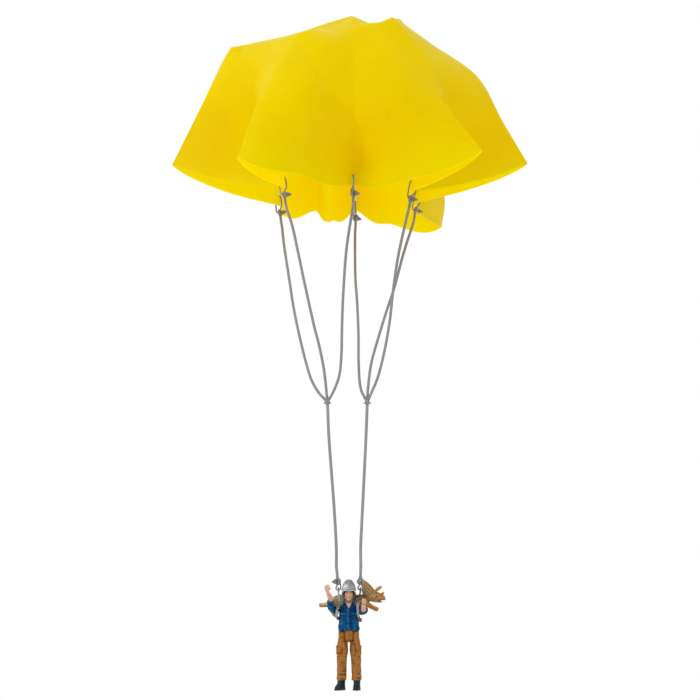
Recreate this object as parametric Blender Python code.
"""Toy parachute: a punched film canopy, moulded shroud lines, and a harnessed figure with a dinosaur.

Metres, +Z up, -Y is the front. The origin is the crown of the canopy, by which the toy is held.
Left and right are the viewer's, looking along +Y at the figure's face.
"""
import math

import bmesh
import bpy
from mathutils import Matrix, Vector

# Running clearances between neighbouring pieces
GAP = 0.0003
SOFT_GAP = 0.0004
END_GAP = 0.0005
CUT_OVERRUN = 0.001
FUSE_DEPTH = 0.0004

# Canopy: a flat disc of film, punched at six places near its hem
FLAT_RADIUS = 0.220
FILM_THICKNESS = 0.0010
PUNCH_MARGIN = 0.0095
PUNCH_RADIUS = 0.0019
PUNCH_DEPTH = 0.008
PUNCH_SIDES = 12
CANOPY_ROWS = 10
CANOPY_STRIPS = 3
CREASE_SHARE = 0.05
FULLNESS_SHARE = 0.04
SAG_SHARE = 0.65

# Each meridian: name, bearing seen from above in degrees from +X, then (reach, drop) in shares of FLAT_RADIUS
MERIDIAN_SHARES = (
    ("right_lobe", 3, ((.135, .052), (.185, .008), (.215, .035), (.325, .115), (.50, .24), (.60, .42),
                       (.70, .592))),
    ("tie_rear_right", 30, ((.10, .07), (.20, .08), (.39, .25), (.41, .42), (.305, .66), (.30, .73))),
    ("rear_right_lobe", 55, ((.16, .09), (.41, .20), (.59, .42), (.683, .63), (.66, .762))),
    ("rear_right_side", 72, ((.16, .08), (.40, .18), (.51, .42), (.54, .755))),
    ("tie_rear", 87, ((.16, .07), (.37, .17), (.43, .42), (.305, .67), (.30, .735))),
    ("rear_left_side", 99, ((.17, .06), (.40, .17), (.50, .42), (.483, .745))),
    ("rear_left_fold", 109, ((.17, .06), (.40, .165), (.48, .41), (.47, .71))),
    ("rear_left_lobe", 119, ((.17, .06), (.41, .16), (.55, .40), (.605, .715))),
    ("tie_rear_left", 153, ((.17, .06), (.38, .15), (.44, .36), (.335, .67), (.33, .74))),
    ("left_lobe", 180, ((.17, .065), (.44, .12), (.495, .15), (.60, .372), (.712, .605))),
    ("tie_front_left", 209, ((.17, .07), (.36, .17), (.43, .36), (.31, .65), (.305, .72))),
    ("front_left_lobe", 232, ((.17, .09), (.33, .15), (.56, .435), (.685, .684))),
    ("front_left_side", 250, ((.17, .10), (.33, .20), (.52, .45), (.56, .745))),
    ("tie_front", 271, ((.12, .06), (.25, .17), (.41, .44), (.385, .58), (.30, .675), (.295, .74))),
    ("front_right_side", 294, ((.12, .062), (.22, .105), (.44, .38), (.475, .55), (.47, .77))),
    ("front_right_lobe", 317, ((.12, .07), (.21, .047), (.235, .068), (.34, .215), (.50, .45), (.665, .64))),
    ("tie_front_right", 328, ((.12, .075), (.205, .055), (.39, .27), (.40, .45), (.28, .665), (.275, .735))),
)

# Moulded end of a line: neck, eye plate, and a thin tail that ends in an arrowhead
LINE_RADIUS = 0.0012
RISER_RADIUS = 0.0013
EYE_RADIUS = 0.0031
EYE_THICKNESS = 0.0021
EYE_HOLE_RADIUS = 0.0012
EYE_SIDES = 12
NECK_LENGTH = 0.0050
TAIL_RADIUS = 0.0007
TAIL_SIDES = 5
CANOPY_HALF_LOOP = 0.0032
RISER_HALF_LOOP = 0.0021
CANOPY_TAIL_REACH = 0.0155
RISER_TAIL_REACH = 0.0072
ARROW_LENGTH = 0.0052
ARROW_HALF_SPAN = 0.0023
ARROW_HALF_THICKNESS = 0.0008
TAIL_STEP = 0.0016

# Bearing that each tie's arrowhead points to
ARROW_BEARINGS = {
    "tie_front_left": 20, "tie_rear_left": -15, "tie_front": 322,
    "tie_rear": 40, "tie_front_right": 335, "tie_rear_right": 12,
}

# Knuckles where three lines run into one riser
LEFT_JUNCTION = (-0.0211, 0.0, -0.3399)
RIGHT_JUNCTION = (0.0132, 0.0, -0.3399)
KNUCKLE_RADIUS = 0.0019
KNUCKLE_HALF_HEIGHT = 0.0032
SOCKET_LENGTH = 0.0062
SOCKET_ROOT_RADIUS = 0.0015
EAR_SPAN = 0.0031
EAR_RADIUS = 0.0008
JUNCTION_SIDES = 10
SOCKET_SIDES = 6

# Routes of the cords between their ends, chosen by hand along the photographed curves
LINE_ROUTES = {
    "line_rear_left": ("tie_rear_left", "left", (
        (-0.0599, 0.0269, -0.1991), (-0.0556, 0.0222, -0.2264), (-0.0504, 0.0165, -0.2590),
        (-0.0434, 0.0105, -0.2912), (-0.0377, 0.0062, -0.3125), (-0.0339, 0.0040, -0.3231),
        (-0.0297, 0.0023, -0.3310))),
    "line_front_left": ("tie_front_left", "left", (
        (-0.0507, -0.0297, -0.1924), (-0.0463, -0.0260, -0.2126), (-0.0406, -0.0210, -0.2395),
        (-0.0331, -0.0145, -0.2731), (-0.0279, -0.0105, -0.2934), (-0.0239, -0.0062, -0.3137),
        (-0.0224, -0.0033, -0.3272))),
    "line_front": ("tie_front", "left", (
        (-0.0020, -0.0584, -0.1972), (-0.0051, -0.0502, -0.2189), (-0.0074, -0.0382, -0.2504),
        (-0.0085, -0.0279, -0.2764), (-0.0090, -0.0186, -0.2994), (-0.0109, -0.0105, -0.3183),
        (-0.0150, -0.0052, -0.3299))),
    "line_rear": ("tie_rear", "right", (
        (0.0028, 0.0580, -0.1891), (0.0030, 0.0450, -0.2233), (0.0047, 0.0349, -0.2513),
        (0.0057, 0.0250, -0.2791), (0.0057, 0.0168, -0.3010), (0.0067, 0.0080, -0.3228),
        (0.0082, 0.0045, -0.3309))),
    "line_rear_right": ("tie_rear_right", "right", (
        (0.0455, 0.0262, -0.2064), (0.0373, 0.0203, -0.2373), (0.0302, 0.0165, -0.2590),
        (0.0221, 0.0115, -0.2858), (0.0164, 0.0073, -0.3072), (0.0137, 0.0036, -0.3249))),
    "line_front_right": ("tie_front_right", "right", (
        (0.0400, -0.0249, -0.2141), (0.0356, -0.0197, -0.2427), (0.0321, -0.0141, -0.2731),
        (0.0275, -0.0091, -0.2984), (0.0223, -0.0050, -0.3187), (0.0181, -0.0028, -0.3289))),
}
RISER_ROUTES = {
    "left": ((-0.0200, 0.0006, -0.3682), (-0.0181, 0.0012, -0.3940), (-0.0161, 0.0018, -0.4197),
             (-0.0144, 0.0024, -0.4453), (-0.0134, 0.0030, -0.4650)),
    "right": ((0.0121, 0.0006, -0.3682), (0.0109, 0.0012, -0.3940), (0.0096, 0.0018, -0.4197),
              (0.0083, 0.0024, -0.4453), (0.0074, 0.0030, -0.4650)),
}
CORD_STEP = 0.0072
CORD_LEAD = 0.0036

# Harness eyes on the swing axis
FIGURE_X = -0.0027
SWING_Y = 0.0037
SWING_Z = -0.5004
EYE_SPACING = {"left": 0.0088, "right": 0.0098}
HARNESS_EYE_RADIUS = 0.0023
HARNESS_EYE_HOLE = 0.00115
HARNESS_EYE_THICKNESS = 0.0014
TIE_LEAN = {"left": 5, "right": 1}
RISER_ARROW_BEARINGS = {"left": 222, "right": 250}

# Figure, measured down and up from the line through its shoulders
HARNESS_RISE = 0.0172
SHOULDER_HALF_WIDTH = 0.0081
TORSO_WIDTH = 0.0176
TORSO_DEPTH = 0.0105
SHOULDER_TO_HEM = 0.0166
COLLAR_RISE = 0.0060
BODY_SIDES = 20
NECK_RADIUS = 0.0026
NECK_SOCKET_DEPTH = 0.0036
POCKET_WIDTH = 0.0040
POCKET_HEIGHT = 0.0038
POCKET_THICKNESS = 0.0005
POCKET_SPACING = 0.0040
POCKET_DROP = 0.0030
FLAP_HEIGHT = 0.0012
PLACKET_WIDTH = 0.0015
PEG_RADIUS = 0.0015
PEG_LENGTH = 0.0022

HIP_DISC_RADIUS = 0.0048
CROTCH_WIDTH = 0.0062
CROTCH_DEPTH = 0.0092
CROTCH_TOP_SHARE = 1.6
LEG_WIDTH = 0.0068
LEG_DEPTH = 0.0092
LEG_LENGTH = 0.0368
LEG_SIDES = 14
HIP_PIN_RADIUS = 0.0010
HIP_PIN_LENGTH = 0.0118
THIGH_SPACE = 0.0012
LEFT_ANKLE_X = 0.0064
RIGHT_ANKLE_X = 0.0069
CARGO_WIDTH = 0.0052
CARGO_HEIGHT = 0.0062
CARGO_THICKNESS = 0.0009
CARGO_DROP = 0.0120

BOOT_HEIGHT = 0.0082
BOOT_LENGTH = 0.0136
BOOT_WIDTH = 0.0066
BOOT_SIDES = 18
LEFT_TOE_OUT = 32
RIGHT_TOE_OUT = 5

SLEEVE_RADIUS = 0.0038
CUFF_DEPTH = 0.0020
ARM_SIDES = 10
FINGER_RADIUS = 0.00052
PALM_HALF_WIDTH = 0.0019
PALM_HALF_DEPTH = 0.0009
PALM_HALF_HEIGHT = 0.0021
FIST_HALF_WIDTH = 0.0022
FINGER_SIDES = 6

HEAD_HEIGHT = 0.0145
HEAD_WIDTH = 0.0088
HEAD_DEPTH = 0.0110
HEAD_SIDES = 16
CHIN_RISE = 0.0080
NOSE_LENGTH = 0.0012
NOSE_HEIGHT = 0.0026
HAIR_THICKNESS = 0.0008
HAIR_START = 104
HAIR_STRIPS = 8
HELMET_WIDTH = 0.0124
HELMET_DEPTH = 0.0138
HELMET_HEIGHT = 0.0099
HELMET_WALL = 0.0008
HELMET_RISE = 0.0164
HELMET_SIDES = 18
BRIM_FLARE = 0.0004
CHIN_STRAP_WIDTH = 0.0012
STRAP_SPLAY = {"left": 0.0015, "right": 0.0}
STRAP_PASS_SHARE = 1.13
STRAP_TUCK_SHARE = 0.4
CHIN_STRAP_THICKNESS = 0.0006
EAR_PAD_RADIUS = 0.0016
EAR_PAD_THICKNESS = 0.0012

# Harness carrier behind the figure, and its straps
CARRIER_WIDTH = 0.0120
CARRIER_THICKNESS = 0.0016
CARRIER_DROP = 0.0130
CARRIER_RISE = 0.0085
CARRIER_ROUND = 0.0007
STRAP_WIDTH = 0.0021
STRAP_THICKNESS = 0.0009
BAND_WIDTH = 0.0022
BAND_THICKNESS = 0.0008
BAND_SPACING = 0.0100
BAND_SIDES = 18
BUCKLE_WIDTH = 0.0028
BUCKLE_HEIGHT = 0.0032
BUCKLE_THICKNESS = 0.0016

# Young dinosaur lying across the back, head to the right
TRUNK_RADIUS = 0.0060
TRUNK_BACK = 0.0152
TRUNK_RISE = 0.0070
BEAST_REACH = 0.0300
LIMB_RADIUS = 0.0030
HEAD_RADIUS = 0.0044
FRILL_HALF_WIDTH = 0.0056
FRILL_HALF_THICKNESS = 0.0028
HORN_RADIUS = 0.0012
BEAST_SIDES = 14
LIMB_SIDES = 10
HORN_SIDES = 8

# Places worked out from the sizes above
SHOULDER = Vector((FIGURE_X, 0, SWING_Z - HARNESS_RISE))
TORSO_HEIGHT = SHOULDER_TO_HEM + COLLAR_RISE
HIP_DROP = SHOULDER_TO_HEM + HIP_DISC_RADIUS + SOFT_GAP
BACK_Y = TORSO_DEPTH / 2 + SOFT_GAP
X_AXIS = Vector((1, 0, 0))
Y_AXIS = Vector((0, 1, 0))
Z_AXIS = Vector((0, 0, 1))

COLOURS = {
    "film": ((0.96, 0.78, 0.01), 0.38, 0.0),
    "line": ((0.36, 0.37, 0.38), 0.55, 0.0),
    "strap": ((0.30, 0.31, 0.33), 0.55, 0.0),
    "buckle": ((0.04, 0.04, 0.05), 0.45, 0.0),
    "helmet": ((0.52, 0.53, 0.55), 0.42, 0.3),
    "ear_pad": ((0.02, 0.02, 0.03), 0.6, 0.0),
    "skin": ((0.83, 0.52, 0.36), 0.55, 0.0),
    "hair": ((0.13, 0.06, 0.03), 0.6, 0.0),
    "shirt": ((0.02, 0.12, 0.30), 0.6, 0.0),
    "trousers": ((0.40, 0.19, 0.04), 0.65, 0.0),
    "boots": ((0.02, 0.025, 0.04), 0.45, 0.0),
    "pin": ((0.55, 0.55, 0.56), 0.3, 1.0),
    "hide": ((0.50, 0.33, 0.10), 0.6, 0.0),
}


def clear_scene():
    """Remove whatever the file holds."""
    for obj in list(bpy.data.objects):
        bpy.data.objects.remove(obj, do_unlink=True)


def material(kind):
    """Return the Principled material of one kind of surface."""
    found = bpy.data.materials.get(kind)
    if found:
        return found
    colour, roughness, metallic = COLOURS[kind]
    made = bpy.data.materials.new(kind)
    made.use_nodes = True
    shader = made.node_tree.nodes["Principled BSDF"]
    shader.inputs["Base Color"].default_value = (*colour, 1)
    shader.inputs["Roughness"].default_value = roughness
    shader.inputs["Metallic"].default_value = metallic
    return made


def body(x, y, z):
    """Return a point given from the middle of the figure's shoulder line."""
    return SHOULDER + Vector((x, y, z))


def solid(name, mesh_data, kind):
    """Turn a bmesh into a named object with its material, faces outward."""
    bmesh.ops.recalc_face_normals(mesh_data, faces=mesh_data.faces)
    mesh = bpy.data.meshes.new(name)
    mesh_data.to_mesh(mesh)
    mesh_data.free()
    obj = bpy.data.objects.new(name, mesh)
    bpy.context.collection.objects.link(obj)
    mesh.materials.append(material(kind))
    return obj


def smooth(obj, angle=40):
    """Shade an object smooth, with sharp edges past an angle in degrees."""
    obj.data.shade_smooth()
    obj.data.set_sharp_from_angle(angle=math.radians(angle))
    return obj


def combine(target, others, operation):
    """Join others to the target, or cut them out of it, with exact Booleans."""
    for other in others:
        modifier = target.modifiers.new(operation, "BOOLEAN")
        modifier.operation = operation
        modifier.solver = "EXACT"
        modifier.object = other
    bpy.context.view_layer.update()
    graph = bpy.context.evaluated_depsgraph_get()
    result = bpy.data.meshes.new_from_object(target.evaluated_get(graph))
    target.modifiers.clear()
    target.data = result
    for other in others:
        bpy.data.objects.remove(other, do_unlink=True)
    return target


def fuse(target, others):
    """Join others to the target as one body."""
    return combine(target, others, "UNION")


def carve(target, cutters):
    """Cut the cutters out of the target."""
    return combine(target, cutters, "DIFFERENCE")


def ring_points(centre, across, up, half_across, half_up, sides, power=2.0):
    """Return a superellipse of points round a centre, or a rectangle's corners for four sides."""
    if sides == 4:
        corners = ((1, -1), (1, 1), (-1, 1), (-1, -1))
        return [centre + across * (u * half_across) + up * (v * half_up) for u, v in corners]
    points = []
    for index in range(sides):
        turn = 2 * math.pi * index / sides
        c, s = math.cos(turn), math.sin(turn)
        u = math.copysign(abs(c) ** (2 / power), c) * half_across
        v = math.copysign(abs(s) ** (2 / power), s) * half_up
        points.append(centre + across * u + up * v)
    return points


def loft(name, rings, kind, closed=False):
    """Skin a list of equal rings, with flat caps unless the rings close on themselves."""
    data = bmesh.new()
    loops = [[data.verts.new(point) for point in ring] for ring in rings]
    pairs = list(zip(loops, loops[1:]))
    if closed:
        pairs.append((loops[-1], loops[0]))
    for low, high in pairs:
        count = len(low)
        for index in range(count):
            after = (index + 1) % count
            data.faces.new((low[index], low[after], high[after], high[index]))
    if not closed:
        data.faces.new(list(reversed(loops[0])))
        data.faces.new(loops[-1])
    return solid(name, data, kind)


def tangents(points):
    """Return the unit direction of travel at each point of a path."""
    found = []
    for index in range(len(points)):
        before = points[max(index - 1, 0)]
        after = points[min(index + 1, len(points) - 1)]
        found.append((after - before).normalized())
    return found


def sweep(name, path, halves, side, sides, kind, power=2.0):
    """Sweep an ellipse along a path; halves are (across, up), side is the across direction."""
    rings = []
    for index, (point, along) in enumerate(zip(path, tangents(path))):
        across = side[index] if isinstance(side, (list, tuple)) else side
        up = along.cross(across).normalized()
        across = up.cross(along).normalized()
        half = halves[index]
        rings.append(ring_points(point, across, up, half[0], half[1], sides, power))
    return loft(name, rings, kind)


def spline(points, step):
    """Return evenly spaced points on a smooth curve through hand-chosen ones."""
    ends = [points[0] * 2 - points[1]] + list(points) + [points[-1] * 2 - points[-2]]
    fine = []
    samples = 24
    for a, b, c, d in zip(ends, ends[1:], ends[2:], ends[3:]):
        for sample in range(samples):
            t = sample / samples
            fine.append(0.5 * ((2 * b) + (c - a) * t + (2 * a - 5 * b + 4 * c - d) * t * t
                               + (3 * b - a - 3 * c + d) * t ** 3))
    fine.append(points[-1])
    lengths = [0.0]
    for before, after in zip(fine, fine[1:]):
        lengths.append(lengths[-1] + (after - before).length)
    count = max(2, round(lengths[-1] / step))
    spaced = []
    index = 0
    for mark in range(count + 1):
        wanted = lengths[-1] * mark / count
        while index < len(fine) - 2 and lengths[index + 1] < wanted:
            index += 1
        run = lengths[index + 1] - lengths[index]
        share = (wanted - lengths[index]) / run if run else 0
        spaced.append(fine[index].lerp(fine[index + 1], min(1, share)))
    return spaced


def straighten(path, start_along, end_along):
    """Lay the first and last stretch of a path exactly along the ways it leaves and arrives."""
    path[1] = path[0] + start_along * (path[1] - path[0]).length
    path[-2] = path[-1] - end_along * (path[-1] - path[-2]).length
    return path


def rod(name, start, end, radius, sides, kind, end_radius=None):
    """Make a straight round rod or taper between two points."""
    along = (end - start).normalized()
    across = along.orthogonal().normalized()
    up = along.cross(across)
    far = radius if end_radius is None else end_radius
    rings = [ring_points(start, across, up, radius, radius, sides),
             ring_points(end, across, up, far, far, sides)]
    return loft(name, rings, kind)


def block(name, centre, size, kind, round_by=0.0):
    """Make a box, with its edges rounded where asked."""
    data = bmesh.new()
    bmesh.ops.create_cube(data, size=1)
    bmesh.ops.scale(data, vec=size, verts=data.verts)
    if round_by:
        bmesh.ops.bevel(data, geom=data.edges, offset=round_by, segments=2, profile=0.5, affect="EDGES")
    bmesh.ops.translate(data, vec=centre, verts=data.verts)
    return solid(name, data, kind)


def ball(name, centre, halves, sides, kind):
    """Make a rounded lump with three half sizes."""
    data = bmesh.new()
    bmesh.ops.create_uvsphere(data, u_segments=sides, v_segments=sides // 2 + 1, radius=1)
    bmesh.ops.scale(data, vec=halves, verts=data.verts)
    bmesh.ops.translate(data, vec=centre, verts=data.verts)
    return solid(name, data, kind)


def turned_point(bearing, reach, height):
    """Return a point at a bearing, reach and height about the canopy's axis."""
    angle = math.radians(bearing)
    return Vector((math.cos(angle) * reach, math.sin(angle) * reach, height))


def meridian_curve(bearing, shares, rows):
    """Return the points of one meridian from crown to hem, evenly spaced along the film."""
    route = [Vector((0, 0, 0))]
    for reach, drop in shares:
        route.append(turned_point(bearing, reach * FLAT_RADIUS, -drop * FLAT_RADIUS))
    fine = spline(route, FLAT_RADIUS / 200)
    last = len(fine) - 1
    return [fine[round(last * row / rows)] for row in range(rows + 1)]


def canopy_columns():
    """Return the film's columns of points from crown to hem, a few for each space between meridians."""
    curves = [meridian_curve(bearing, shares, CANOPY_ROWS) for _, bearing, shares in MERIDIAN_SHARES]
    columns = []
    for index, curve in enumerate(curves):
        after = curves[(index + 1) % len(curves)]
        for strip in range(CANOPY_STRIPS):
            t = strip / CANOPY_STRIPS
            blend = t - CREASE_SHARE * math.sin(2 * math.pi * t)
            fullness = FULLNESS_SHARE * 4 * t * (1 - t)
            column = []
            for row, (here, there) in enumerate(zip(curve, after)):
                swell = fullness * (row / CANOPY_ROWS) ** 2
                point = here.lerp(there, blend)
                column.append(point + Vector((point.x, point.y, point.z * SAG_SHARE)) * swell)
            columns.append(column)
    return columns


def tie_places(columns):
    """Return each tie's hole middle, the way down the film and the way out of its fold."""
    places = {}
    for index, (name, _, _) in enumerate(MERIDIAN_SHARES):
        if not name.startswith("tie"):
            continue
        middle = index * CANOPY_STRIPS
        above, edge = columns[middle][-2:]
        down = (edge - above).normalized()
        ways = []
        for beside in (columns[middle - 1][-1], columns[(middle + 1) % len(columns)][-1]):
            way = beside - edge
            ways.append((way - down * way.dot(down)).normalized())
        places[name] = (edge - down * PUNCH_MARGIN, down, (ways[0] + ways[1]).normalized())
    return places


def make_canopy(columns, places):
    """Make the film: ruled strips between hand-shaped meridians, a thickness, and six punched holes."""
    data = bmesh.new()
    crown = data.verts.new((0, 0, 0))
    grid = [[data.verts.new(point) for point in column[1:]] for column in columns]
    for index, column in enumerate(grid):
        after = grid[(index + 1) % len(grid)]
        data.faces.new((crown, column[0], after[0]))
        for row in range(len(column) - 1):
            data.faces.new((column[row], column[row + 1], after[row + 1], after[row]))
    canopy = solid("canopy", data, "film")
    thicken = canopy.modifiers.new("film", "SOLIDIFY")
    thicken.thickness = FILM_THICKNESS
    thicken.offset = 0
    cutters = []
    for name, (hole, _, outward) in places.items():
        reach = outward * (PUNCH_DEPTH / 2)
        cutters.append(rod("punch_" + name, hole - reach, hole + reach, PUNCH_RADIUS, PUNCH_SIDES, "film"))
    return smooth(carve(canopy, cutters), 50)


def tail_route(reach, half, straight):
    """Return the tail's loop as (sideways, toward the crossing) points, from eye plate to arrow."""
    rise = EYE_RADIUS - TAIL_RADIUS
    return [
        (0, rise), (half * 0.45, rise + half * 0.5), (half * 0.95, rise + half * 1.2),
        (half, rise + half * 1.6), (half, reach - half * 0.75), (half * 0.85, reach - half * 0.25),
        (straight, reach), (-straight, reach), (-half * 0.85, reach - half * 0.25),
        (-half, reach - half * 0.75), (-half, half * 0.9), (-half * 0.8, half * 0.25),
        (-half * 0.4, 0), (0, 0), (EYE_THICKNESS / 2 + FUSE_DEPTH * 2, 0),
    ]


def make_tie(name, crossing, toward, loop_side, arrow_side, reach, half, straight):
    """Make one moulded end: neck, eye plate, tail round the crossing point and back through the eye."""
    kind = "line"
    eye = crossing - toward * reach
    face = toward.cross(arrow_side).normalized()
    neck_end = eye - toward * (EYE_RADIUS + NECK_LENGTH)
    plate = rod(name, eye - arrow_side * (EYE_THICKNESS / 2), eye + arrow_side * (EYE_THICKNESS / 2),
                EYE_RADIUS, EYE_SIDES, kind)
    neck_path = [eye - toward * (EYE_RADIUS * 0.75), eye - toward * (EYE_RADIUS + NECK_LENGTH / 3), neck_end]
    neck_halves = [(EYE_RADIUS * 0.6, EYE_THICKNESS * 0.48), (LINE_RADIUS * 1.1, LINE_RADIUS),
                   (LINE_RADIUS, LINE_RADIUS)]
    neck = sweep("neck", neck_path, neck_halves, face, EYE_SIDES // 2, kind)
    plate = fuse(plate, [neck])
    hole = rod("hole", eye - arrow_side * (EYE_THICKNESS / 2 + CUT_OVERRUN),
               eye + arrow_side * (EYE_THICKNESS / 2 + CUT_OVERRUN), EYE_HOLE_RADIUS, EYE_SIDES, kind)
    plate = carve(plate, [hole])
    flat = spline([Vector((u, w, 0)) for u, w in tail_route(reach, half, straight)], TAIL_STEP)
    path, faces = [], []
    twist_end = EYE_RADIUS * 2
    for spot in flat:
        share = max(0.0, min(1.0, spot.y / twist_end))
        share = share * share * (3 - 2 * share)
        sideways = arrow_side.lerp(loop_side, share).normalized()
        path.append(eye + sideways * spot.x + toward * spot.y)
        faces.append(toward.cross(sideways).normalized())
    tail = sweep("tail", path, [(TAIL_RADIUS, TAIL_RADIUS)] * len(path), faces, TAIL_SIDES, kind)
    start = EYE_THICKNESS / 2 + FUSE_DEPTH
    outline = [
        (start, TAIL_RADIUS),
        (start + ARROW_LENGTH * 0.28, TAIL_RADIUS),
        (start + ARROW_LENGTH * 0.05, ARROW_HALF_SPAN),
        (start + ARROW_LENGTH * 0.40, ARROW_HALF_SPAN * 0.78),
        (start + ARROW_LENGTH, TAIL_RADIUS * 0.5),
    ]
    outline += [(u, -w) for u, w in reversed(outline)]
    data = bmesh.new()
    low = eye - face * ARROW_HALF_THICKNESS
    floor = [data.verts.new(low + arrow_side * u + toward * w) for u, w in outline]
    sheet = data.faces.new(floor)
    raised = bmesh.ops.extrude_face_region(data, geom=[sheet])
    top = [item for item in raised["geom"] if isinstance(item, bmesh.types.BMVert)]
    bmesh.ops.translate(data, vec=face * (2 * ARROW_HALF_THICKNESS), verts=top)
    arrow = solid("arrow", data, kind)
    return smooth(fuse(plate, [tail, arrow])), neck_end


def make_canopy_ties(places):
    """Make the six ties at the canopy and return where each neck ends and which way it points."""
    ends = {}
    for name, (hole, down, outward) in places.items():
        crossing = hole + down * (PUNCH_RADIUS - TAIL_RADIUS - SOFT_GAP)
        level = turned_point(ARROW_BEARINGS[name], 1, 0)
        arrow = (level - down * level.dot(down)).normalized()
        loop = outward if outward.dot(arrow) > 0 else -outward
        _, end = make_tie(name, crossing, -down, loop, arrow, CANOPY_TAIL_REACH, CANOPY_HALF_LOOP,
                          CANOPY_HALF_LOOP * 0.4)
        ends[name] = (end, down)
    return ends


def harness_eye(label):
    """Return the centre of the harness eye on one side."""
    hand = -1 if label == "left" else 1
    return Vector((FIGURE_X + hand * EYE_SPACING[label], SWING_Y, SWING_Z))


def make_riser_ties():
    """Make the moulded ends of both risers, looped through the harness eyes, and return their necks' ends."""
    ends = {}
    for label, hand in (("left", -1), ("right", 1)):
        lean = math.radians(TIE_LEAN[label])
        toward = Vector((-hand * math.sin(lean), 0, -math.cos(lean)))
        level = turned_point(RISER_ARROW_BEARINGS[label], 1, 0)
        arrow = (level - toward * level.dot(toward)).normalized()
        loop = Vector((hand * math.cos(lean), 0, -math.sin(lean)))
        loop = loop if loop.dot(arrow) > 0 else -loop
        _, end = make_tie("riser_tie_" + label, harness_eye(label), toward, loop, arrow,
                          RISER_TAIL_REACH, RISER_HALF_LOOP, RISER_HALF_LOOP * 0.45)
        ends[label] = (end, toward)
    return ends


def cord(name, points, radius, kind):
    """Make a round cord as a bevelled curve through evenly spaced points."""
    curve = bpy.data.curves.new(name, "CURVE")
    curve.dimensions = "3D"
    curve.bevel_depth = radius
    curve.bevel_resolution = 2
    curve.use_fill_caps = True
    line = curve.splines.new("POLY")
    line.points.add(len(points) - 1)
    for spot, point in zip(line.points, points):
        spot.co = (*point, 1)
    curve.materials.append(material(kind))
    obj = bpy.data.objects.new(name, curve)
    bpy.context.collection.objects.link(obj)
    return obj


def cord_path(start, start_along, route, end, end_along):
    """Return a cord's points through its route, square to what it meets at both ends."""
    first = start + start_along * END_GAP
    last = end - end_along * END_GAP
    points = [first, first + start_along * CORD_LEAD] + [Vector(spot) for spot in route]
    points += [last - end_along * CORD_LEAD, last]
    return straighten(spline(points, CORD_STEP), start_along, end_along)


def make_lines(tie_ends, riser_tie_ends):
    """Make the six lines, two knuckles and two risers."""
    centres = {"left": Vector(LEFT_JUNCTION), "right": Vector(RIGHT_JUNCTION)}
    sockets = {"left": [], "right": []}
    for name, (tie, side, route) in LINE_ROUTES.items():
        way = (Vector(route[-1]) - centres[side]).normalized()
        sockets[side].append(way)
        start, down = tie_ends[tie]
        points = cord_path(start, down, route[:-1], centres[side] + way * SOCKET_LENGTH, -way)
        cord(name, points, LINE_RADIUS, "line")
    for side, centre in centres.items():
        down = (Vector(RISER_ROUTES[side][0]) - centre).normalized()
        heights = (1.0, 0.55, 0.0, -0.6, -1.0)
        widths = (0.55, 0.95, 1.0, 0.85, RISER_RADIUS / KNUCKLE_RADIUS)
        path = [centre - down * (share * KNUCKLE_HALF_HEIGHT) for share in heights]
        halves = [(share * KNUCKLE_RADIUS, share * KNUCKLE_RADIUS) for share in widths]
        hub = sweep("junction_" + side, path, halves, Y_AXIS, JUNCTION_SIDES, "line")
        arms = []
        for way in sockets[side]:
            arms.append(rod("arm", centre, centre + way * SOCKET_LENGTH, SOCKET_ROOT_RADIUS, SOCKET_SIDES,
                            "line", LINE_RADIUS))
        low = centre - Z_AXIS * EAR_RADIUS
        ears = rod("ears", low - X_AXIS * EAR_SPAN, low + X_AXIS * EAR_SPAN, EAR_RADIUS, FINGER_SIDES, "line")
        smooth(fuse(hub, arms + [ears]))
        end, toward = riser_tie_ends[side]
        points = cord_path(centre + down * KNUCKLE_HALF_HEIGHT, down, RISER_ROUTES[side], end, toward)
        cord("riser_" + side, points, RISER_RADIUS, "line")


def axis_empty(name, place):
    """Make an empty on a joint's axis, the parent of what turns there."""
    empty = bpy.data.objects.new(name, None)
    empty.location = place
    bpy.context.collection.objects.link(empty)
    bpy.context.view_layer.update()
    return empty


def carry(parent, children):
    """Parent pieces to a joint's empty where they are."""
    for child in children:
        child.parent = parent
        child.matrix_parent_inverse = parent.matrix_world.inverted()


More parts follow.
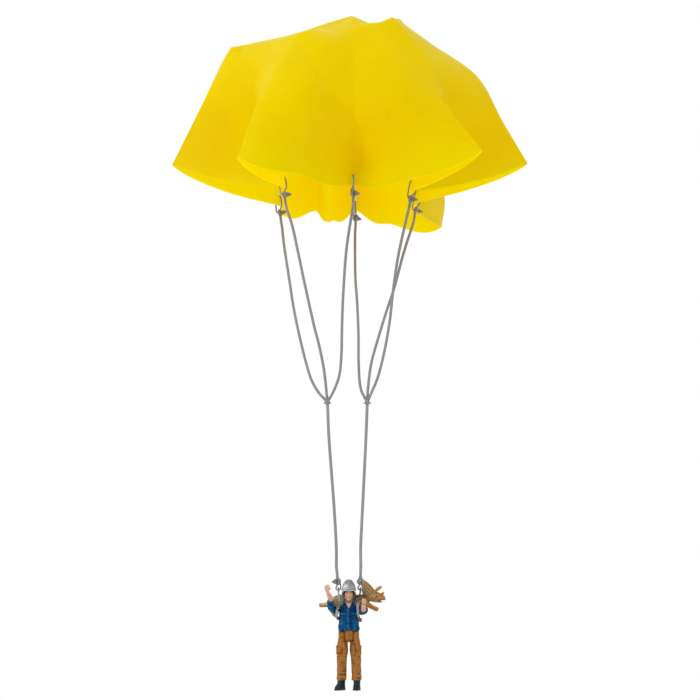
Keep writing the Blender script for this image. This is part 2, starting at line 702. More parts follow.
def make_torso():
    """Make the shirt body with pockets, placket, neck socket and shoulder sockets."""
    section_shares = (
        (0.00, 0.98, 0.90), (0.05, 1.02, 0.97), (0.25, 0.95, 0.95), (0.48, 0.94, 0.99),
        (0.64, 0.94, 1.02), (0.76, 0.94, 1.00), (0.86, 0.86, 0.92), (0.93, 0.66, 0.78), (1.00, 0.43, 0.62),
    )
    rings = []
    for height, width, depth in section_shares:
        centre = body(0, 0, height * TORSO_HEIGHT - SHOULDER_TO_HEM)
        rings.append(ring_points(centre, X_AXIS, Y_AXIS, width * TORSO_WIDTH / 2, depth * TORSO_DEPTH / 2,
                                 BODY_SIDES, 2.6))
    torso = loft("torso", rings, "shirt")
    front = -TORSO_DEPTH / 2
    extras = []
    for hand in (-1, 1):
        x = hand * POCKET_SPACING
        extras.append(block("pocket", body(x, front + POCKET_THICKNESS, -POCKET_DROP - POCKET_HEIGHT / 2),
                            (POCKET_WIDTH, 2 * POCKET_THICKNESS, POCKET_HEIGHT), "shirt"))
        extras.append(block("flap", body(x, front + POCKET_THICKNESS / 2, -POCKET_DROP),
                            (POCKET_WIDTH + POCKET_THICKNESS, 3 * POCKET_THICKNESS, FLAP_HEIGHT), "shirt"))
    placket_height = SHOULDER_TO_HEM * 0.94
    extras.append(block("placket", body(0, front + POCKET_THICKNESS / 2, -placket_height / 2),
                        (PLACKET_WIDTH, 2 * POCKET_THICKNESS, placket_height), "shirt"))
    torso = fuse(torso, extras)
    collar = body(0, 0, COLLAR_RISE)
    cutters = [rod("neck_socket", collar - Z_AXIS * NECK_SOCKET_DEPTH, collar + Z_AXIS * CUT_OVERRUN,
                   NECK_RADIUS + GAP, BODY_SIDES, "shirt")]
    for hand in (-1, 1):
        inner = body(hand * (SHOULDER_HALF_WIDTH - PEG_LENGTH - GAP), 0, 0)
        outer = body(hand * (SHOULDER_HALF_WIDTH + CUT_OVERRUN), 0, 0)
        cutters.append(rod("arm_socket", inner, outer, PEG_RADIUS + GAP, ARM_SIDES, "shirt"))
        seam = SHOULDER_HALF_WIDTH + SLEEVE_RADIUS
        cutters.append(block("arm_seam", body(hand * seam, 0, 0),
                             (2 * SLEEVE_RADIUS, TORSO_DEPTH * 2, 2 * SLEEVE_RADIUS + 2 * GAP), "shirt"))
    return smooth(carve(torso, cutters), 35)


def make_hips():
    """Make the crotch piece, both legs, both boots and the hip pin."""
    hip = body(0, 0, -HIP_DROP)
    half = CROTCH_WIDTH / 2
    rings = []
    for x in (-half, half):
        ring = []
        for index in range(BODY_SIDES):
            turn = 2 * math.pi * index / BODY_SIDES
            rise = math.sin(turn) * HIP_DISC_RADIUS
            rise = min(rise * CROTCH_TOP_SHARE, HIP_DISC_RADIUS) if rise > 0 else rise
            ring.append(hip + Vector((x, math.cos(turn) * CROTCH_DEPTH / 2, rise)))
        rings.append(ring)
    crotch = loft("crotch_piece", rings, "trousers")
    bore = rod("bore", hip - X_AXIS * (half + CUT_OVERRUN), hip + X_AXIS * (half + CUT_OVERRUN),
               HIP_PIN_RADIUS + GAP, ARM_SIDES, "trousers")
    smooth(carve(crotch, [bore]), 35)
    pin = rod("hip_pin", hip - X_AXIS * (HIP_PIN_LENGTH / 2), hip + X_AXIS * (HIP_PIN_LENGTH / 2),
              HIP_PIN_RADIUS, ARM_SIDES, "pin")
    smooth(pin)
    leg_shares = (
        (0.00, 0.00, 0.74, 1.00, 0.00), (0.12, 0.00, 0.86, 1.03, 0.05), (0.16, 0.05, 0.90, 1.03, 0.10),
        (0.21, 0.70, 0.94, 1.02, 0.14), (0.29, 1.00, 1.00, 1.01, 0.20), (0.40, 0.85, 1.02, 0.98, 0.30),
        (0.47, 0.62, 0.97, 1.00, 0.42), (0.56, 0.52, 1.01, 0.95, 0.52), (0.68, 0.42, 0.99, 0.93, 0.68),
        (0.80, 0.38, 1.03, 0.92, 0.80), (0.88, 0.24, 0.98, 0.88, 0.90), (0.95, 0.36, 1.06, 0.94, 0.97),
        (1.00, 0.30, 1.03, 0.90, 1.00),
    )
    legs = {}
    for label, hand, ankle_x in (("left", -1, LEFT_ANKLE_X), ("right", 1, RIGHT_ANKLE_X)):
        inner_x = half + GAP
        hip_x = inner_x + LEG_WIDTH / 2
        rings = []
        for drop, close, width, depth, drift in leg_shares:
            shift = (ankle_x - hip_x) * drift
            inside = inner_x - close * (inner_x - THIGH_SPACE / 2) + shift
            outside = inner_x + width * LEG_WIDTH + shift
            if drop < 0.15:
                inside = inner_x + FUSE_DEPTH
            centre = hip + Vector((hand * (inside + outside) / 2, 0, -drop * LEG_LENGTH))
            rings.append(ring_points(centre, X_AXIS, Y_AXIS, (outside - inside) / 2, depth * LEG_DEPTH / 2,
                                     LEG_SIDES, 2.4))
        leg = loft("trouser_leg_" + label, rings, "trousers")
        disc_start = hip + X_AXIS * (hand * inner_x)
        disc = rod("disc", disc_start, disc_start + X_AXIS * (hand * LEG_WIDTH * 0.74), HIP_DISC_RADIUS,
                   BODY_SIDES, "trousers")
        cargo_x = hip_x + LEG_WIDTH * 0.45
        cargo = block("cargo", hip + Vector((hand * cargo_x, 0, -CARGO_DROP)),
                      (2 * CARGO_THICKNESS, CARGO_WIDTH, CARGO_HEIGHT), "trousers", CARGO_THICKNESS / 3)
        cargo_flap = block("cargo_flap", hip + Vector((hand * (cargo_x + CARGO_THICKNESS / 3), 0,
                                                       CARGO_HEIGHT / 2 - CARGO_DROP)),
                           (2 * CARGO_THICKNESS, CARGO_WIDTH * 1.08, CARGO_HEIGHT / 4), "trousers")
        leg = fuse(leg, [disc, cargo, cargo_flap])
        depth = (HIP_PIN_LENGTH - CROTCH_WIDTH) / 2
        mouth = hip + X_AXIS * (hand * (half - CUT_OVERRUN))
        socket = rod("socket", mouth, hip + X_AXIS * (hand * (half + depth + GAP)), HIP_PIN_RADIUS + GAP,
                     ARM_SIDES, "trousers")
        leg = smooth(carve(leg, [socket]), 35)
        toe_out = LEFT_TOE_OUT if hand < 0 else RIGHT_TOE_OUT
        ankle = hip + Vector((hand * ankle_x, 0, -LEG_LENGTH - GAP))
        boot = make_boot("boot_" + label, ankle, -hand * toe_out)
        empty = axis_empty("hip_axis_" + label, hip)
        carry(empty, [leg, boot])
        legs[label] = empty
    return legs


def make_boot(name, ankle, toe_out):
    """Make one boot: a flat sole with a welt, an instep and a shaft."""
    section_shares = (
        (1.00, 1.00, 1.00, -0.16), (0.86, 1.02, 1.04, -0.16), (0.84, 0.95, 0.96, -0.16),
        (0.62, 0.88, 0.94, -0.13), (0.44, 0.68, 0.88, -0.06), (0.26, 0.55, 0.86, 0.00),
        (0.08, 0.54, 0.90, 0.01), (0.00, 0.56, 0.92, 0.01),
    )
    swing = Matrix.Rotation(math.radians(toe_out), 3, "Z")
    across, along = swing @ X_AXIS, swing @ Y_AXIS
    rings = []
    for drop, length, width, shift in section_shares:
        centre = ankle - Z_AXIS * (drop * BOOT_HEIGHT) + along * (shift * BOOT_LENGTH)
        rings.append(ring_points(centre, across, along, width * BOOT_WIDTH / 2, length * BOOT_LENGTH / 2,
                                 BOOT_SIDES, 2.5))
    return smooth(loft(name, rings, "boots"), 40)


def fingers(origin, across, up, face, count, spread_share, length_shares, kind):
    """Return finger rods fanned up from the top edge of a palm."""
    made = []
    for index in range(count):
        offset = (index - (count - 1) / 2) * FINGER_RADIUS * 1.9
        root = origin + across * offset
        length = length_shares[index] * FINGER_RADIUS * 7
        tip = root + up * length + across * (offset * spread_share) - face * (FINGER_RADIUS * 0.6)
        mid = root.lerp(tip, 0.55)
        beyond = tip + (tip - mid).normalized() * (FINGER_RADIUS * 0.6)
        path = [root - up * (FINGER_RADIUS * 2), mid, tip, beyond]
        halves = [(FINGER_RADIUS * share, FINGER_RADIUS * share) for share in (1.05, 1.0, 0.9, 0.4)]
        made.append(sweep("finger", path, halves, face, FINGER_SIDES, kind))
    return made


# Arms: points outward from the shoulder's edge, back and up, in shares of SLEEVE_RADIUS, then widths
LEFT_SLEEVE_SHARES = ((0, 0, 0), (0.6, -0.1, 0.05), (1.2, -0.75, 0.25), (1.68, -1.65, 0.75),
                      (1.84, -2.35, 1.45), (1.82, -2.7, 2.25))
LEFT_SLEEVE_WIDTH_SHARES = (1.0, 0.97, 0.88, 0.84, 0.81, 0.81)
LEFT_ARM_SHARES = ((1.95, -2.8, 2.9), (2.35, -3.0, 3.7), (2.6, -3.1, 4.1))
LEFT_ARM_WIDTH_SHARES = (0.56, 0.56, 0.47, 0.38)
RIGHT_SLEEVE_SHARES = ((0, 0, 0), (0.55, -0.15, 0), (1.0, -1.1, 0.05), (1.08, -2.2, 0.15),
                       (1.08, -3.1, 0.24))
RIGHT_SLEEVE_WIDTH_SHARES = (1.0, 1.0, 0.98, 0.95, 0.95)
RIGHT_ARM_SHARES = ((1.08, -3.7, 0.32), (1.1, -4.45, 0.85), (1.14, -4.75, 1.5))
RIGHT_ARM_WIDTH_SHARES = (0.60, 0.60, 0.55, 0.47)
ARM_PLANS = (
    ("left", -1, LEFT_SLEEVE_SHARES, LEFT_SLEEVE_WIDTH_SHARES, LEFT_ARM_SHARES, LEFT_ARM_WIDTH_SHARES),
    ("right", 1, RIGHT_SLEEVE_SHARES, RIGHT_SLEEVE_WIDTH_SHARES, RIGHT_ARM_SHARES, RIGHT_ARM_WIDTH_SHARES),
)


def arm_point(hand, spot_shares):
    """Return a point of an arm from its shares outward, back and up from the shoulder's edge."""
    outward, back, up = spot_shares
    edge = SHOULDER_HALF_WIDTH + GAP
    return body(hand * (edge + outward * SLEEVE_RADIUS), back * SLEEVE_RADIUS, up * SLEEVE_RADIUS)


def make_arms():
    """Make both sleeves and both forearms with hands, in the photographed pose."""
    unit = SLEEVE_RADIUS
    axes = {}
    for label, hand, sleeve_shares, width_shares, arm_shares, skin_shares in ARM_PLANS:
        path = spline([arm_point(hand, spot) for spot in sleeve_shares], unit / 2)
        path.insert(1, path[0] + X_AXIS * (hand * FUSE_DEPTH))
        widths = []
        for index in range(len(path)):
            place = index / (len(path) - 1) * (len(width_shares) - 1)
            low = min(int(place), len(width_shares) - 2)
            width = width_shares[low] + (width_shares[low + 1] - width_shares[low]) * (place - low)
            widths.append((width * unit, width * unit))
        lean = Vector((0, 0.35, 1)).normalized() if hand < 0 else Z_AXIS
        sleeve = sweep("sleeve_" + label, path, widths, lean, ARM_SIDES, "shirt")
        reach = X_AXIS * (hand * PEG_LENGTH)
        peg = rod("peg", path[0] - reach, path[0] + reach, PEG_RADIUS, ARM_SIDES, "shirt")
        sleeve = fuse(sleeve, [peg])
        lead = (path[-1] - path[-2]).normalized()
        bore = rod("bore", path[-1] - lead * CUFF_DEPTH, path[-1] + lead * CUT_OVERRUN,
                   skin_shares[0] * unit + SOFT_GAP, ARM_SIDES, "shirt")
        smooth(carve(sleeve, [bore]), 40)
        arm_path = [path[-1] - lead * (CUFF_DEPTH - GAP), path[-1] + lead * SOFT_GAP]
        arm_path += [arm_point(hand, spot) for spot in arm_shares]
        halves = [(share * unit, share * unit) for share in skin_shares[:1] + skin_shares]
        forearm = sweep("forearm_" + label, arm_path, halves, X_AXIS, ARM_SIDES, "skin")
        make_hand = open_hand if label == "left" else closed_hand
        smooth(fuse(forearm, make_hand(arm_path[-1])), 50)
        empty = axis_empty("shoulder_axis_" + label, body(0, 0, 0))
        carry(empty, [sleeve, forearm])
        axes[label] = empty
    return axes


def open_hand(wrist):
    """Return the pieces of a raised open hand, palm to the front, thumb inward."""
    centre = wrist + Z_AXIS * (PALM_HALF_HEIGHT * 0.85)
    pieces = [ball("palm", centre, (PALM_HALF_WIDTH, PALM_HALF_DEPTH, PALM_HALF_HEIGHT), ARM_SIDES, "skin")]
    top = centre + Z_AXIS * (PALM_HALF_HEIGHT * 0.5)
    pieces += fingers(top, X_AXIS, Z_AXIS, Y_AXIS, 4, 0.35, (0.72, 0.90, 0.98, 0.82), "skin")
    root = centre + X_AXIS * (PALM_HALF_WIDTH * 0.6)
    tip = root + X_AXIS * (PALM_HALF_WIDTH * 1.15) + Z_AXIS * (PALM_HALF_HEIGHT * 0.75)
    pieces.append(rod("thumb", root, tip, FINGER_RADIUS * 1.25, FINGER_SIDES, "skin", FINGER_RADIUS * 0.8))
    return pieces


def closed_hand(wrist):
    """Return the pieces of a loosely closed fist, its fingers stacked across the front."""
    size = FIST_HALF_WIDTH
    centre = wrist + Z_AXIS * (size * 1.0) - Y_AXIS * (size * 0.15)
    pieces = [ball("fist", centre, (size, size * 0.9, size * 1.1), ARM_SIDES, "skin")]
    for index in range(4):
        height = (index - 1.5) * FINGER_RADIUS * 1.85
        place = centre + Vector((size * 0.08, -size * 0.62, height))
        halves = (size * 0.86, size * 0.5, FINGER_RADIUS * 1.1)
        pieces.append(ball("finger", place, halves, HORN_SIDES, "skin"))
    root = centre + Vector((-size * 0.65, -size * 0.45, size * 0.2))
    tip = root + Vector((size * 0.25, -size * 0.45, size * 1.0))
    pieces.append(rod("thumb", root, tip, FINGER_RADIUS * 1.3, FINGER_SIDES, "skin", FINGER_RADIUS))
    return pieces


HEAD_SECTION_SHARES = (
    (0.00, 0.36, 0.36, -0.20), (0.05, 0.54, 0.54, -0.15), (0.15, 0.72, 0.74, -0.08),
    (0.29, 0.86, 0.87, -0.03), (0.45, 0.95, 0.95, 0.00), (0.60, 1.00, 1.00, 0.01),
    (0.74, 0.95, 0.96, 0.01), (0.86, 0.80, 0.82, 0.01), (0.95, 0.54, 0.56, 0.01),
    (1.00, 0.22, 0.24, 0.01),
)


def head_size(share):
    """Return half width, half depth and forward shift of the head at a share of its height."""
    for low, high in zip(HEAD_SECTION_SHARES, HEAD_SECTION_SHARES[1:]):
        if share <= high[0]:
            t = (share - low[0]) / (high[0] - low[0])
            width, depth, shift = (low[k] + (high[k] - low[k]) * t for k in (1, 2, 3))
            return width * HEAD_WIDTH / 2, depth * HEAD_DEPTH / 2, shift * HEAD_DEPTH
    raise ValueError("share of the head's height is past its crown")


def head_point(share, turn, offset):
    """Return a point off the head's surface; turn is in degrees from the face, positive to the right."""
    half_width, half_depth, shift = head_size(share)
    angle = math.radians(turn)
    return body(math.sin(angle) * (half_width + offset), shift - math.cos(angle) * (half_depth + offset),
                CHIN_RISE + share * HEAD_HEIGHT)


def wrapped(name, kind, shares, turns, offsets):
    """Make a shell that follows the head over a span of heights and turns, between two offsets."""
    inner = [[head_point(share, turn, offsets[0]) for turn in turns] for share in shares]
    outer = [[head_point(share, turn, offsets[1]) for turn in turns] for share in shares]
    data = bmesh.new()
    grids = [[[data.verts.new(point) for point in row] for row in side] for side in (inner, outer)]
    rows, columns = len(shares), len(turns)
    for grid in grids:
        for row in range(rows - 1):
            for column in range(columns - 1):
                data.faces.new((grid[row][column], grid[row][column + 1], grid[row + 1][column + 1],
                                grid[row + 1][column]))
    border = [(0, c) for c in range(columns)] + [(r, columns - 1) for r in range(1, rows)]
    border += [(rows - 1, c) for c in range(columns - 2, -1, -1)] + [(r, 0) for r in range(rows - 2, 0, -1)]
    low, high = grids
    for (row, column), (next_row, next_column) in zip(border, border[1:] + border[:1]):
        data.faces.new((low[row][column], low[next_row][next_column], high[next_row][next_column],
                        high[row][column]))
    return solid(name, data, kind)


def make_head():
    """Make the head with neck and nose, the hair, and the helmet with its pads and strap."""
    rings = []
    for share, _, _, _ in HEAD_SECTION_SHARES:
        half_width, half_depth, shift = head_size(share)
        centre = body(0, shift, CHIN_RISE + share * HEAD_HEIGHT)
        rings.append(ring_points(centre, X_AXIS, Y_AXIS, half_width, half_depth, HEAD_SIDES, 2.05))
    head = loft("head", rings, "skin")
    neck_foot = body(0, 0, COLLAR_RISE - NECK_SOCKET_DEPTH + GAP)
    neck = rod("neck", neck_foot, body(0, 0, CHIN_RISE + HEAD_HEIGHT * 0.3), NECK_RADIUS, BODY_SIDES, "skin")
    nose_root = head_point(0.46, 0, -NOSE_LENGTH)
    nose_path = [nose_root + Z_AXIS * (NOSE_HEIGHT / 2), nose_root - Y_AXIS * (NOSE_LENGTH * 0.45),
                 nose_root - Y_AXIS * NOSE_LENGTH - Z_AXIS * (NOSE_HEIGHT * 0.36),
                 nose_root - Y_AXIS * (NOSE_LENGTH * 0.5) - Z_AXIS * (NOSE_HEIGHT / 2)]
    nose_halves = [(NOSE_LENGTH * share, NOSE_LENGTH * share) for share in (0.45, 0.6, 0.85, 0.7)]
    nose = sweep("nose", nose_path, nose_halves, X_AXIS, LIMB_SIDES, "skin")
    head = smooth(fuse(head, [neck, nose]), 50)
    step = (360 - 2 * HAIR_START) / HAIR_STRIPS
    hair_turns = [HAIR_START + step * index for index in range(HAIR_STRIPS + 1)]
    hair = wrapped("hair", "hair", (0.20, 0.32, 0.44, 0.54), hair_turns,
                   (END_GAP, END_GAP + HAIR_THICKNESS))
    smooth(hair, 60)
    helmet = make_helmet()
    strap_spots = ((0.53, 58), (0.42, 57), (0.28, 56), (0.15, 54), (0.04, 48))
    offset = CHIN_STRAP_THICKNESS + 3 * GAP
    side = [head_point(share, turn, offset) for share, turn in strap_spots]
    under = body(0, -HEAD_DEPTH * 0.30, CHIN_RISE - CHIN_STRAP_THICKNESS - END_GAP)
    mirror = [Vector((2 * FIGURE_X - spot.x, spot.y, spot.z)) for spot in reversed(side)]
    path = spline(side + [under] + mirror, CHIN_STRAP_WIDTH * 1.5)
    half = (CHIN_STRAP_WIDTH / 2, CHIN_STRAP_THICKNESS / 2)
    smooth(sweep("helmet_strap", path, [half] * len(path), Y_AXIS, 4, "strap"), 50)
    strap = bpy.data.objects["helmet_strap"]
    pads = []
    for label, hand in (("left", -1), ("right", 1)):
        place = head_point(0.42, hand * 84, END_GAP)
        face = place + X_AXIS * (hand * EAR_PAD_THICKNESS)
        pads.append(smooth(rod("ear_pad_" + label, place, face, EAR_PAD_RADIUS, ARM_SIDES, "ear_pad")))
    empty = axis_empty("neck_axis", body(0, 0, COLLAR_RISE))
    carry(empty, [head, hair, helmet, strap] + pads)
    return empty


def make_helmet():
    """Make the helmet: a turned shell, longer than wide, with a flared rim."""
    profile_shares = ((0.00, 1.00), (0.10, 0.99), (0.32, 0.94), (0.55, 0.83), (0.75, 0.66), (0.90, 0.42),
                      (0.98, 0.18))
    outer = [(0.0, 1.0, BRIM_FLARE), (0.06, 1.0, BRIM_FLARE)]
    outer += [(height, width, 0.0) for height, width in profile_shares[1:]]
    rings = []
    for height, width, flare in outer:
        centre = body(0, 0, HELMET_RISE + height * HELMET_HEIGHT)
        rings.append(ring_points(centre, X_AXIS, Y_AXIS, width * HELMET_WIDTH / 2 + flare,
                                 width * HELMET_DEPTH / 2 + flare, HELMET_SIDES))
    shell = loft("helmet", rings, "helmet")
    inner = []
    for height, width in profile_shares:
        centre = body(0, 0, HELMET_RISE + height * (HELMET_HEIGHT - HELMET_WALL))
        inner.append(ring_points(centre, X_AXIS, Y_AXIS, width * (HELMET_WIDTH / 2 - HELMET_WALL),
                                 width * (HELMET_DEPTH / 2 - HELMET_WALL), HELMET_SIDES))
    inner.insert(0, [point - Z_AXIS * CUT_OVERRUN for point in inner[0]])
    cutters = [loft("cavity", inner, "helmet")]
    return smooth(carve(shell, cutters), 45)


def make_harness():
    """Make the carrier with its two bands, the shoulder straps with their eyes, and the buckle."""
    plate_y = BACK_Y + CARRIER_THICKNESS / 2
    height = CARRIER_DROP + CARRIER_RISE
    carrier = block("harness_carrier", body(0, plate_y, (CARRIER_RISE - CARRIER_DROP) / 2),
                    (CARRIER_WIDTH, CARRIER_THICKNESS, height), "strap", CARRIER_ROUND)
    extras = []
    band_reach = TRUNK_RADIUS + SOFT_GAP + BAND_THICKNESS / 2
    for hand in (-1, 1):
        x = hand * BAND_SPACING / 2
        rings = []
        for index in range(BAND_SIDES):
            turn = 2 * math.pi * index / BAND_SIDES
            outward = Vector((0, math.cos(turn), math.sin(turn)))
            centre = body(x, TRUNK_BACK, TRUNK_RISE) + outward * band_reach
            rings.append(ring_points(centre, X_AXIS, outward, BAND_WIDTH / 2, BAND_THICKNESS / 2, 4))
        extras.append(loft("band", rings, "strap", closed=True))
        root_y = BACK_Y + CARRIER_THICKNESS / 2
        reach = TRUNK_BACK - TRUNK_RADIUS - SOFT_GAP - FUSE_DEPTH
        extras.append(block("band_root", body(x, (root_y + reach) / 2, TRUNK_RISE),
                            (BAND_WIDTH * 0.9, reach - root_y, BAND_WIDTH), "strap"))
    smooth(fuse(carrier, extras), 40)
    straps = [make_strap("left", -1, 0.0), make_strap("right", 1, STRAP_WIDTH * 0.5)]
    buckle_y = -TORSO_DEPTH * 0.48 - BUCKLE_THICKNESS * 0.4
    place = body(SHOULDER_HALF_WIDTH + BUCKLE_WIDTH * 0.55, buckle_y, -HARNESS_RISE * 0.465)
    buckle = block("harness_buckle", place, (BUCKLE_WIDTH, BUCKLE_THICKNESS, BUCKLE_HEIGHT), "buckle",
                   CARRIER_ROUND / 2)
    return [carrier, buckle] + straps


def make_strap(label, hand, inward):
    """Make one shoulder strap: the eye on the swing axis, a front strand round the arm, and a rear strand."""
    eye = harness_eye(label)
    lug = rod("harness_strap_" + label, eye - X_AXIS * (HARNESS_EYE_THICKNESS / 2),
              eye + X_AXIS * (HARNESS_EYE_THICKNESS / 2), HARNESS_EYE_RADIUS, EYE_SIDES, "strap")
    reach = SHOULDER_HALF_WIDTH
    rise = HARNESS_RISE
    depth = TORSO_DEPTH / 2
    lug_foot = HARNESS_EYE_RADIUS * 0.8
    x_end = EYE_SPACING[label]
    splay = STRAP_SPLAY[label]
    front = [
        (x_end, SWING_Y - lug_foot * 0.3, rise - lug_foot),
        (x_end * 0.98 - inward * STRAP_TUCK_SHARE, SWING_Y * 0.1, rise * 0.70),
        (x_end * 0.95 - inward * 0.8, -depth * 0.62, rise * 0.48),
        (reach * 1.06 - inward + splay * 0.3, -depth * 1.14, rise * 0.26),
        (reach * 1.08 - inward + splay * 0.8, -depth * 1.29, rise * 0.03),
        (reach * 1.10 - inward + splay, -depth * 1.24, -rise * 0.22),
        (reach * STRAP_PASS_SHARE - inward * STRAP_TUCK_SHARE + splay * 0.8, -depth * 0.62, -rise * 0.38),
        (reach * STRAP_PASS_SHARE + splay * 0.4, depth * 0.05, -rise * 0.42),
        (reach * 1.06, depth * 0.75, -rise * 0.41),
        (CARRIER_WIDTH / 2 + END_GAP, BACK_Y + CARRIER_THICKNESS * 0.55, -rise * 0.39),
    ]
    sides = [Y_AXIS, Vector((0.5, 0.85, 0)), Vector((0.85, 0.5, 0)), X_AXIS, X_AXIS, X_AXIS,
             Vector((0.7, 0, 0.7)), Z_AXIS, Z_AXIS, Z_AXIS]
    rear = [
        (x_end, SWING_Y + lug_foot * 0.3, rise - lug_foot),
        (x_end * 0.93, SWING_Y * 1.5, rise * 0.73),
        (x_end * 0.72, BACK_Y + CARRIER_THICKNESS * 0.5, CARRIER_RISE + STRAP_WIDTH * 1.1),
        (x_end * 0.50, BACK_Y + CARRIER_THICKNESS / 2, CARRIER_RISE + END_GAP),
    ]
    rear_sides = [Y_AXIS, Vector((0.5, 0.85, 0)), Vector((0.95, 0.3, 0)), X_AXIS]
    strands = []
    for route, across, end_along in ((front, sides, X_AXIS * -hand), (rear, rear_sides, -Z_AXIS)):
        path, ways = strand_path(route, across, hand)
        straighten(path, (path[1] - path[0]).normalized(), end_along)
        halves = [(STRAP_WIDTH / 2, STRAP_THICKNESS / 2)] * len(path)
        strands.append(sweep("strand", path, halves, ways, 4, "strap"))
    lug = fuse(lug, strands)
    hole = rod("hole", eye - X_AXIS * (HARNESS_EYE_THICKNESS / 2 + CUT_OVERRUN),
               eye + X_AXIS * (HARNESS_EYE_THICKNESS / 2 + CUT_OVERRUN), HARNESS_EYE_HOLE, EYE_SIDES, "strap")
    return smooth(carve(lug, [hole]), 40)


def strand_path(route, across, hand):
    """Return a strap strand's smooth path and the way its width runs at each point."""
    points = [body(hand * x, y, z) for x, y, z in route]
    path = spline(points, STRAP_WIDTH * 0.8)
    ways = []
    for spot in path:
        near = sorted(range(len(points)), key=lambda index: (points[index] - spot).length)[:2]
        gaps = [(points[index] - spot).length + FUSE_DEPTH for index in near]
        way = Vector((0, 0, 0))
        for index, gap in zip(near, gaps):
            lean = Vector((hand * across[index][0], across[index][1], across[index][2]))
            if way.length and lean.dot(way) < 0:
                lean = -lean
            way += lean / gap
        if ways and way.dot(ways[-1]) < 0:
            way = -way
        ways.append(way.normalized())
    return path, ways


def round_halves(radius, width_shares):
    """Return equal half sizes both ways, in shares of a radius."""
    return [(share * radius, share * radius) for share in width_shares]


def beast(x, y, z):
    """Return a point of the dinosaur in shares of its reach from the middle of its trunk."""
    return body(x * BEAST_REACH, TRUNK_BACK + y * BEAST_REACH, TRUNK_RISE + z * BEAST_REACH)


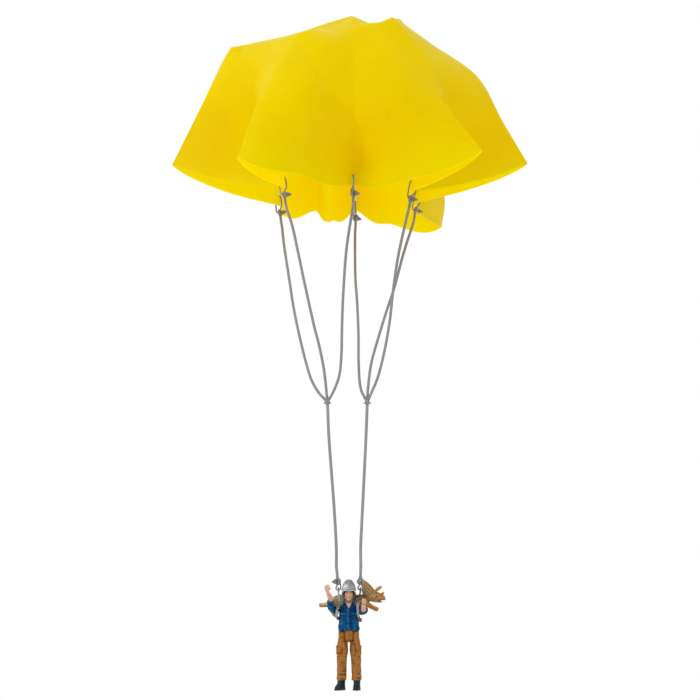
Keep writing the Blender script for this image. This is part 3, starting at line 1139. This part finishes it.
def make_dinosaur():
    """Make the young dinosaur as one moulding: trunk, tail, legs, open beak, frill and three horns."""
    trunk_shares = ((-0.47, 0, 0.00, 0.45), (-0.42, 0, 0.00, 0.74), (-0.33, 0, 0, 0.92), (-0.22, 0, 0, 1),
                    (0.22, 0, 0, 1), (0.33, -0.01, 0.01, 0.93), (0.43, -0.03, 0.05, 0.82),
                    (0.52, -0.06, 0.10, 0.70))
    path = [beast(x, y, z) for x, y, z, _ in trunk_shares]
    trunk = sweep("dinosaur", path, round_halves(TRUNK_RADIUS, [row[-1] for row in trunk_shares]), Z_AXIS,
                  BAND_SIDES, "hide")
    limb_plans = (
        ((0.38, -0.12, -0.04), (0.50, -0.16, -0.05), (0.66, -0.15, -0.15), (0.84, -0.14, -0.23)),
        ((0.38, 0.12, -0.06), (0.50, 0.16, -0.06), (0.65, 0.15, -0.16), (0.82, 0.14, -0.24)),
        ((-0.36, -0.12, -0.04), (-0.52, -0.16, -0.06), (-0.68, -0.16, -0.09), (-0.84, -0.15, -0.10)),
        ((-0.36, 0.12, -0.06), (-0.52, 0.16, -0.07), (-0.67, 0.15, -0.10), (-0.82, 0.14, -0.11)),
    )
    limb_width_shares = (1.05, 0.82, 0.60, 0.56)
    pieces = []
    for plan in limb_plans:
        route = [beast(*spot) for spot in plan]
        pieces.append(sweep("limb", route, round_halves(LIMB_RADIUS, limb_width_shares), Y_AXIS, LIMB_SIDES,
                            "hide"))
    tail_shares = ((-0.40, 0, 0.00, 1.15), (-0.51, -0.01, -0.08, 0.85), (-0.55, -0.04, -0.20, 0.64),
                   (-0.50, -0.08, -0.34, 0.44), (-0.38, -0.10, -0.44, 0.18))
    path = [beast(x, y, z) for x, y, z, _ in tail_shares]
    pieces.append(sweep("tail", path, round_halves(LIMB_RADIUS, [row[-1] for row in tail_shares]), Y_AXIS,
                        LIMB_SIDES, "hide"))
    skull_shares = ((0.44, -0.04, 0.06, 0.70), (0.58, -0.08, 0.14, 0.98), (0.72, -0.10, 0.17, 1.0),
                    (0.84, -0.10, 0.15, 0.78), (0.95, -0.10, 0.11, 0.52), (1.05, -0.10, 0.06, 0.14))
    path = [beast(x, y, z) for x, y, z, _ in skull_shares]
    halves = [(share * HEAD_RADIUS * 0.86, share * HEAD_RADIUS) for *_, share in skull_shares]
    pieces.append(sweep("skull", path, halves, Y_AXIS, BEAST_SIDES, "hide"))
    jaw_shares = ((0.62, -0.09, 0.06, 0.50), (0.78, -0.10, 0.02, 0.42), (0.95, -0.10, -0.01, 0.20))
    path = [beast(x, y, z) for x, y, z, _ in jaw_shares]
    halves = [(share * HEAD_RADIUS * 1.1, share * HEAD_RADIUS * 0.7) for *_, share in jaw_shares]
    pieces.append(sweep("jaw", path, halves, Y_AXIS, LIMB_SIDES, "hide"))
    frill_shares = ((0.62, -0.10, 0.12, 0.90, 1.0), (0.565, -0.10, 0.26, 1.0, 0.9),
                    (0.51, -0.09, 0.38, 0.84, 0.7), (0.45, -0.08, 0.50, 0.56, 0.5),
                    (0.40, -0.07, 0.58, 0.30, 0.4), (0.385, -0.07, 0.61, 0.12, 0.3))
    path = [beast(x, y, z) for x, y, z, _, _ in frill_shares]
    halves = [(thick * FRILL_HALF_THICKNESS, wide * FRILL_HALF_WIDTH) for *_, wide, thick in frill_shares]
    pieces.append(sweep("frill", path, halves, Y_AXIS, BEAST_SIDES, "hide"))
    for y in (-0.17, -0.03):
        lean = (y + 0.10) * 0.5
        route = [beast(0.70, y, 0.24), beast(0.80, y + lean, 0.34), beast(0.92, y + lean, 0.42)]
        pieces.append(sweep("brow_horn", route, round_halves(HORN_RADIUS, (1.15, 0.75, 0.15)), Y_AXIS,
                            HORN_SIDES, "hide"))
    route = [beast(0.90, -0.10, 0.17), beast(0.95, -0.10, 0.22), beast(0.99, -0.10, 0.27)]
    pieces.append(sweep("nose_horn", route, round_halves(HORN_RADIUS, (1.0, 0.7, 0.2)), Y_AXIS, HORN_SIDES,
                        "hide"))
    return smooth(fuse(trunk, pieces), 60)


def main():
    """Build the whole toy."""
    clear_scene()
    columns = canopy_columns()
    places = tie_places(columns)
    make_canopy(columns, places)
    tie_ends = make_canopy_ties(places)
    riser_tie_ends = make_riser_ties()
    make_lines(tie_ends, riser_tie_ends)
    torso = make_torso()
    swing = axis_empty("swing_axis", Vector((FIGURE_X, SWING_Y, SWING_Z)))
    legs = make_hips()
    arms = make_arms()
    neck = make_head()
    harness = make_harness()
    dinosaur = make_dinosaur()
    crotch = bpy.data.objects["crotch_piece"]
    pin = bpy.data.objects["hip_pin"]
    carry(swing, [torso, crotch, pin, dinosaur, neck] + harness + list(legs.values()) + list(arms.values()))


main()
